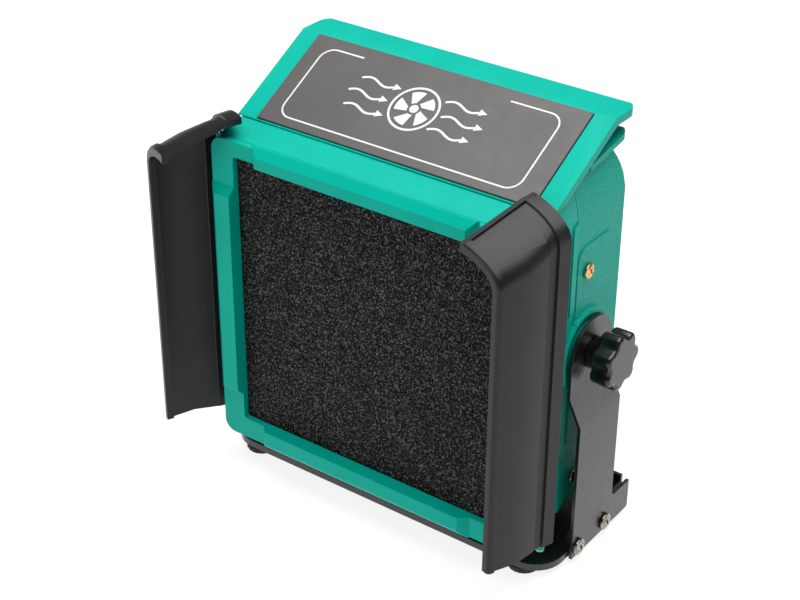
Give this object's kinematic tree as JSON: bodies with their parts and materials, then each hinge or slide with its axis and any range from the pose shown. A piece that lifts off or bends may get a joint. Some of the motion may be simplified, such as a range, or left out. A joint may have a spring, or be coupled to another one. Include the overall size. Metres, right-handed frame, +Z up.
{
  "type": "solder fume extractor",
  "caption": "Benchtop solder fume extractor: tilting two-shell housing with foam filter and axial fan, hinged side wings and a bent-sheet bracket with clamp knobs.",
  "frame": {"origin": "middle of the footprint of the whole part at rest, on the surface under the feet", "axes": "+X to the right across the filter, +Y from the filter face to the back, +Z up"},
  "size_m": [0.2574, 0.1354, 0.2487],
  "materials": {
    "teal_plastic": "satin moulded ABS with a fine spark texture",
    "wing_plastic": "satin moulded ABS",
    "black_plastic": "semi-gloss",
    "black_steel": "satin powder coat",
    "label_film": "satin printed panel",
    "foam": "open-cell activated-carbon foam",
    "nickel_steel": "nickel plate",
    "copper_steel": "yellow-zinc plate",
    "brass": "machined",
    "stator_steel": "laminated",
    "rubber": "matt"
  },
  "bodies": {
    "bracket": {"base_plate": "black_steel", "arm_left": "black_steel", "foot_front_left": "rubber", "base_screw_front_left": "nickel_steel", "foot_rear_left": "rubber", "base_screw_rear_left": "nickel_steel", "arm_right": "black_steel", "foot_front_right": "rubber", "base_screw_front_right": "nickel_steel", "foot_rear_right": "rubber", "base_screw_rear_right": "nickel_steel"},
    "housing": {"front_shell": "teal_plastic", "rear_shell": "teal_plastic", "top_cover": "teal_plastic", "filter_frame": "teal_plastic", "label_panel": "label_film", "foam_filter": "foam", "filter_grille": "black_plastic", "fan_frame": "black_plastic", "fan_stator": "stator_steel", "fan_bearing_front": "nickel_steel", "fan_bearing_rear": "nickel_steel", "power_inlet": "black_plastic", "switch_body": "black_plastic", "pivot_insert_left": "brass", "friction_washer_left": "rubber", "case_screw_upper_left": "copper_steel", "hinge_pin_upper_left": "nickel_steel", "case_screw_lower_left": "copper_steel", "hinge_pin_lower_left": "nickel_steel", "pivot_insert_right": "brass", "friction_washer_right": "rubber", "case_screw_upper_right": "copper_steel", "hinge_pin_upper_right": "nickel_steel", "case_screw_lower_right": "copper_steel", "hinge_pin_lower_right": "nickel_steel", "fan_screw_1": "nickel_steel", "fan_screw_2": "nickel_steel", "fan_screw_3": "nickel_steel", "fan_screw_4": "nickel_steel", "inlet_pin_line": "nickel_steel", "inlet_pin_earth": "nickel_steel", "inlet_pin_neutral": "nickel_steel"},
    "wing_left": {"wing_left": "wing_plastic"},
    "wing_right": {"wing_right": "wing_plastic"},
    "fan": {"fan_rotor": "black_plastic", "fan_shaft": "nickel_steel"},
    "rocker": {"switch_rocker": "black_plastic"},
    "knob_left": {"knob_left": "black_plastic", "knob_stud_left": "nickel_steel"},
    "knob_right": {"knob_right": "black_plastic", "knob_stud_right": "nickel_steel"}
  },
  "joints": [
    {"name": "housing_tilt", "type": "hinge", "parent": "bracket", "child": "housing", "pos_m": [0.00345, 0.02375, 0.1242], "axis": [1, 0, 0], "range_deg": [-90, 8]},
    {"name": "wing_left_swing", "type": "hinge", "parent": "housing", "child": "wing_left", "pos_m": [-0.10405, -0.02025, 0.1242], "axis": [0, 0, 1], "range_deg": [-59, 46]},
    {"name": "wing_right_swing", "type": "hinge", "parent": "housing", "child": "wing_right", "pos_m": [0.11095, -0.02025, 0.1242], "axis": [0, 0, 1], "range_deg": [0, 105]},
    {"name": "fan_spin", "type": "hinge", "parent": "housing", "child": "fan", "pos_m": [0.00345, 0.02375, 0.1242], "axis": [0, 1, 0], "continuous": true},
    {"name": "switch_rock", "type": "hinge", "parent": "housing", "child": "rocker", "pos_m": [-0.02255, 0.05975, 0.0442], "axis": [0, 0, 1], "range_deg": [-18, 0]},
    {"name": "knob_left_turn", "type": "hinge", "parent": "bracket", "child": "knob_left", "pos_m": [0.00345, 0.02375, 0.1242], "axis": [1, 0, 0], "range_deg": [0, 360]},
    {"name": "knob_right_turn", "type": "hinge", "parent": "bracket", "child": "knob_right", "pos_m": [0.00345, 0.02375, 0.1242], "axis": [1, 0, 0], "range_deg": [-360, 0]}
  ]
}
